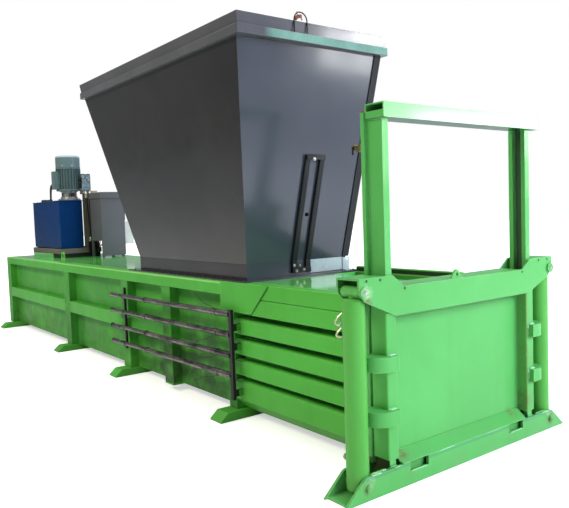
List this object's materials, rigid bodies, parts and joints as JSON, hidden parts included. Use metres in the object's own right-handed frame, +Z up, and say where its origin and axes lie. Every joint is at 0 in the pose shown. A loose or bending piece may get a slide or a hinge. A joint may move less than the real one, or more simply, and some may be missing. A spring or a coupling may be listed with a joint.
{
  "type": "recycling baler",
  "caption": "Horizontal baler with a feed hopper over a hydraulic ram and a rising gate at the chamber's end, its oil tank, motor and cabinet on the deck.",
  "frame": {"origin": "middle of the footprint on the floor", "axes": "+X towards the discharge gate along the ram's stroke, +Z up, Y across the machine with the wire tubes on the -Y side"},
  "size_m": [8.236, 2.15, 3.108],
  "materials": {
    "green_paint": "gloss",
    "hopper_paint": "gloss",
    "tank_paint": "gloss",
    "cabinet_paint": "satin",
    "motor_paint": "satin",
    "tray_paint": "satin",
    "bare_steel": "satin",
    "ground_rod": "polished",
    "dark_steel": "satin",
    "tube_steel": "satin",
    "cast_housing": "satin",
    "valve_brass": "satin",
    "black_rubber": "matte",
    "box_plastic": "satin",
    "red_plastic": "gloss",
    "green_plastic": "gloss",
    "blue_plastic": "gloss",
    "black_plastic": "satin"
  },
  "bodies": {
    "frame": {"bell_housing": "cast_housing", "cabinet_body": "cabinet_paint", "chamber_beams_far": "green_paint", "chamber_beams_near": "green_paint", "chamber_rails": "green_paint", "chamber_roof": "green_paint", "deck_plate": "green_paint", "fan_cowl": "motor_paint", "feet": "green_paint", "floor_plate": "green_paint", "gate_base_beam": "green_paint", "gate_sill": "green_paint", "gate_top_beam": "green_paint", "guide_post_far": "green_paint", "guide_post_near": "green_paint", "gusset_plates": "green_paint", "hopper_base": "hopper_paint", "hopper_corner_angle": "dark_steel", "hopper_rim": "hopper_paint", "hopper_walls": "hopper_paint", "hoses_and_cables": "black_rubber", "lift_barrels": "green_paint", "lifting_lugs": "green_paint", "limit_switch": "valve_brass", "main_barrel": "green_paint", "motor_body": "motor_paint", "oil_tank": "tank_paint", "power_tray": "tray_paint", "pump": "bare_steel", "rear_bulkhead": "green_paint", "sensor_bracket": "dark_steel", "side_rails_far": "green_paint", "side_rails_near": "green_paint", "side_ribs_far": "green_paint", "side_ribs_near": "green_paint", "side_wall_far": "green_paint", "side_wall_near": "green_paint", "tank_lid": "tank_paint", "tray_pads": "black_rubber", "tube_hangers": "dark_steel", "upright_panel": "tray_paint", "valve_manifold": "valve_brass", "wire_bail": "bare_steel", "wire_tubes": "tube_steel"},
    "gate": {"gate_panel": "green_paint", "gate_sleeves": "green_paint", "gate_straps": "green_paint", "gate_yoke": "green_paint", "lift_rods": "ground_rod"},
    "ram": {"ram_box": "bare_steel", "main_rod": "ground_rod"},
    "door": {"cabinet_door": "cabinet_paint", "operator_box": "box_plastic"},
    "handle": {"door_handle": "black_plastic"},
    "stop": {"stop_button": "red_plastic"},
    "start": {"start_button": "green_plastic"},
    "reset": {"reset_button": "blue_plastic"},
    "rotor": {"motor_rotor": "bare_steel"},
    "cap": {"filler_cap": "black_plastic"},
    "lever": {"limit_lever": "dark_steel"}
  },
  "joints": [
    {"name": "gate_lift", "type": "slide", "parent": "frame", "child": "gate", "axis": [0, 0, 1], "range_m": [0, 0.85]},
    {"name": "ram_stroke", "type": "slide", "parent": "frame", "child": "ram", "axis": [1, 0, 0], "range_m": [0, 2.45]},
    {"name": "cabinet_door_swing", "type": "hinge", "parent": "frame", "child": "door", "pos_m": [-2.612, 0.51, 1.4925], "axis": [0, 0, 1], "range_deg": [0, 110]},
    {"name": "door_handle_turn", "type": "hinge", "parent": "door", "child": "handle", "pos_m": [-2.247, 0.51, 1.69], "axis": [0, 1, 0], "range_deg": [0, 90]},
    {"name": "stop_press", "type": "slide", "parent": "door", "child": "stop", "axis": [0, -1, 0], "range_m": [0, 0.005], "stiffness_N_per_m": 600},
    {"name": "start_press", "type": "slide", "parent": "door", "child": "start", "axis": [0, -1, 0], "range_m": [0, 0.005], "stiffness_N_per_m": 600},
    {"name": "reset_press", "type": "slide", "parent": "door", "child": "reset", "axis": [0, -1, 0], "range_m": [0, 0.005], "stiffness_N_per_m": 600},
    {"name": "motor_spin", "type": "hinge", "parent": "frame", "child": "rotor", "pos_m": [-2.842, -0.03, 2.135], "axis": [0, 0, 1], "continuous": true},
    {"name": "filler_cap_turn", "type": "hinge", "parent": "frame", "child": "cap", "pos_m": [-3.502, -0.1, 1.9], "axis": [0, 0, 1], "range_deg": [0, 90]},
    {"name": "limit_lever_swing", "type": "hinge", "parent": "frame", "child": "lever", "pos_m": [3.888, -0.75, 1.96], "axis": [0, 1, 0], "range_deg": [-20, 20], "stiffness_Nm_per_rad": 0.05}
  ]
}
